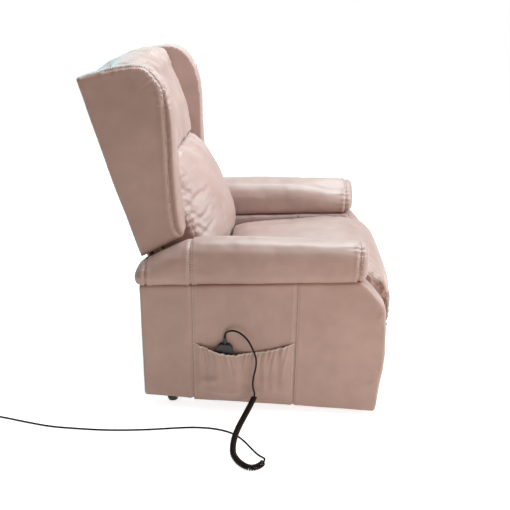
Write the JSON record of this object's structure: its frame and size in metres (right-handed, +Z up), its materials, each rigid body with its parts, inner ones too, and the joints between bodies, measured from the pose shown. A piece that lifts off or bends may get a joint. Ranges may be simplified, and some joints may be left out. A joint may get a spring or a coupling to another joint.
{
  "type": "lift recliner chair",
  "caption": "Upholstered wing-back lift recliner with padded arms, a side pocket for its wired handset, a folding leg rest and a motor-driven lifting steel base.",
  "frame": {"origin": "on the floor, at the middle of the chair's footprint", "axes": "+Z up; the sitter looks along -Y; +X is the sitter's left, and the pocket is on the -X side"},
  "size_m": [1.0846, 1.413, 1.127],
  "materials": {
    "upholstery": "smooth satin leatherette",
    "frame_steel": "black powder coat",
    "bright_steel": "zinc plated",
    "black_plastic": "moulded, matt",
    "black_rubber": "soft satin",
    "key_plastic": "moulded, matt",
    "timber": "bare plywood"
  },
  "bodies": {
    "base": {"base_rails": "frame_steel", "base_cross_front": "frame_steel", "base_cross_rear": "frame_steel", "base_feet": "black_plastic", "base_brackets": "frame_steel", "base_studs": "bright_steel", "curly_cord": "black_rubber", "floor_lead": "black_rubber", "lead_coil": "black_rubber", "lead_plug": "black_plastic"},
    "lift_front": {"lift_front_arms": "frame_steel", "lift_torque_tube": "frame_steel"},
    "lift_rear": {"lift_rear_arms": "frame_steel", "lift_rear_tube": "frame_steel"},
    "chassis": {"chassis_side_plates": "frame_steel", "chassis_cross_tubes": "frame_steel", "lift_hangers": "frame_steel", "chassis_studs": "bright_steel", "leg_bearings": "frame_steel", "motor_brackets": "frame_steel", "seat_springs": "bright_steel", "seat_cushion": "upholstery", "side_panel_left": "upholstery", "side_panel_right": "upholstery", "arm_pad_left": "upholstery", "arm_pad_right": "upholstery", "pocket": "upholstery", "panel_bolts": "bright_steel", "control_box": "black_plastic", "handset_front": "black_plastic", "handset_back": "black_plastic", "handset_relief": "black_rubber", "handset_lead": "black_rubber"},
    "lift_motor": {"lift_motor": "black_plastic"},
    "lift_rod": {"lift_motor_rod": "bright_steel"},
    "back": {"back_uprights": "timber", "back_rails": "timber", "back_hinge_tube": "frame_steel", "back_springs": "bright_steel", "wing_left": "upholstery", "wing_right": "upholstery", "head_cushion": "upholstery", "lower_back_cushion": "upholstery", "back_cover": "upholstery"},
    "back_motor": {"back_motor": "black_plastic"},
    "back_rod": {"back_motor_rod": "bright_steel"},
    "leg_drive": {"leg_links": "frame_steel", "leg_torque_tube": "frame_steel"},
    "leg_rest": {"leg_brackets": "frame_steel", "leg_board": "timber", "leg_pad": "upholstery"},
    "leg_second": {"leg_second_links": "frame_steel"},
    "leg_motor": {"leg_motor": "black_plastic"},
    "leg_rod": {"leg_motor_rod": "bright_steel"},
    "key_back_up": {"button_back_up": "key_plastic"},
    "key_back_down": {"button_back_down": "key_plastic"},
    "key_legs_up": {"button_legs_up": "key_plastic"},
    "key_legs_down": {"button_legs_down": "key_plastic"},
    "key_lift_up": {"button_lift_up": "key_plastic"},
    "key_lift_down": {"button_lift_down": "key_plastic"}
  },
  "joints": [
    {"name": "lift", "type": "hinge", "parent": "base", "child": "lift_front", "pos_m": [0, -0.33, 0.068], "axis": [1, 0, 0], "range_deg": [0, 64]},
    {"name": "chassis_tilt", "type": "hinge", "parent": "lift_front", "child": "chassis", "pos_m": [0, -0.01, 0.085], "axis": [1, 0, 0], "range_deg": [-37, 0]},
    {"name": "rear_arm", "type": "hinge", "parent": "base", "child": "lift_rear", "pos_m": [0, -0.27, 0.095], "axis": [1, 0, 0], "range_deg": [0, 56.1]},
    {"name": "lift_motor_swing", "type": "hinge", "parent": "base", "child": "lift_motor", "pos_m": [0, 0.222, 0.08], "axis": [-1, 0, 0], "range_deg": [-0.4, 0.4]},
    {"name": "lift_rod_slide", "type": "slide", "parent": "lift_motor", "child": "lift_rod", "axis": [0, -0.995, 0.1002], "range_m": [0, 0.081]},
    {"name": "recline", "type": "hinge", "parent": "chassis", "child": "back", "pos_m": [0, 0.26, 0.38], "axis": [-1, 0, 0], "range_deg": [0, 35]},
    {"name": "back_motor_swing", "type": "hinge", "parent": "chassis", "child": "back_motor", "pos_m": [0.09, -0.04, 0.24], "axis": [-1, 0, 0], "range_deg": [-1.6, 0]},
    {"name": "back_rod_slide", "type": "slide", "parent": "back_motor", "child": "back_rod", "axis": [0, 0.9782, 0.2076], "range_m": [-0.0449, 0]},
    {"name": "leg_rest_lift", "type": "hinge", "parent": "chassis", "child": "leg_drive", "pos_m": [0, -0.412, 0.316], "axis": [-1, 0, 0], "range_deg": [0, 62.5]},
    {"name": "leg_board_turn", "type": "hinge", "parent": "leg_drive", "child": "leg_rest", "pos_m": [0, -0.444, 0.173], "axis": [-1, 0, 0], "range_deg": [0, 18.2]},
    {"name": "leg_second_swing", "type": "hinge", "parent": "chassis", "child": "leg_second", "pos_m": [0, -0.385, 0.347], "axis": [-1, 0, 0], "range_deg": [0, 31.5]},
    {"name": "leg_motor_swing", "type": "hinge", "parent": "chassis", "child": "leg_motor", "pos_m": [-0.09, 0.175, 0.24], "axis": [-1, 0, 0], "range_deg": [-1.41, 0]},
    {"name": "leg_rod_slide", "type": "slide", "parent": "leg_motor", "child": "leg_rod", "axis": [0, -0.9968, 0.0799], "range_m": [0, 0.0423]},
    {"name": "press_back_up", "type": "slide", "parent": "chassis", "child": "key_back_up", "axis": [1, 0, 0], "range_m": [0, 0.001], "stiffness_N_per_m": 400},
    {"name": "press_back_down", "type": "slide", "parent": "chassis", "child": "key_back_down", "axis": [1, 0, 0], "range_m": [0, 0.001], "stiffness_N_per_m": 400},
    {"name": "press_legs_up", "type": "slide", "parent": "chassis", "child": "key_legs_up", "axis": [1, 0, 0], "range_m": [0, 0.001], "stiffness_N_per_m": 400},
    {"name": "press_legs_down", "type": "slide", "parent": "chassis", "child": "key_legs_down", "axis": [1, 0, 0], "range_m": [0, 0.001], "stiffness_N_per_m": 400},
    {"name": "press_lift_up", "type": "slide", "parent": "chassis", "child": "key_lift_up", "axis": [1, 0, 0], "range_m": [0, 0.001], "stiffness_N_per_m": 400},
    {"name": "press_lift_down", "type": "slide", "parent": "chassis", "child": "key_lift_down", "axis": [1, 0, 0], "range_m": [0, 0.001], "stiffness_N_per_m": 400}
  ],
  "couplings": [
    {"joint": "chassis_tilt", "follows": "lift", "ratio": -0.57633},
    {"joint": "rear_arm", "follows": "lift", "ratio": 0.87509},
    {"joint": "lift_motor_swing", "follows": "lift", "ratio": -0.00422},
    {"joint": "lift_rod_slide", "follows": "lift", "m_per_rad": 0.072306},
    {"joint": "back_motor_swing", "follows": "recline", "ratio": -0.04126},
    {"joint": "back_rod_slide", "follows": "recline", "m_per_rad": -0.073419},
    {"joint": "leg_board_turn", "follows": "leg_rest_lift", "ratio": 0.29083},
    {"joint": "leg_second_swing", "follows": "leg_rest_lift", "ratio": 0.50336},
    {"joint": "leg_motor_swing", "follows": "leg_rest_lift", "ratio": -0.0225},
    {"joint": "leg_rod_slide", "follows": "leg_rest_lift", "m_per_rad": 0.0387}
  ]
}
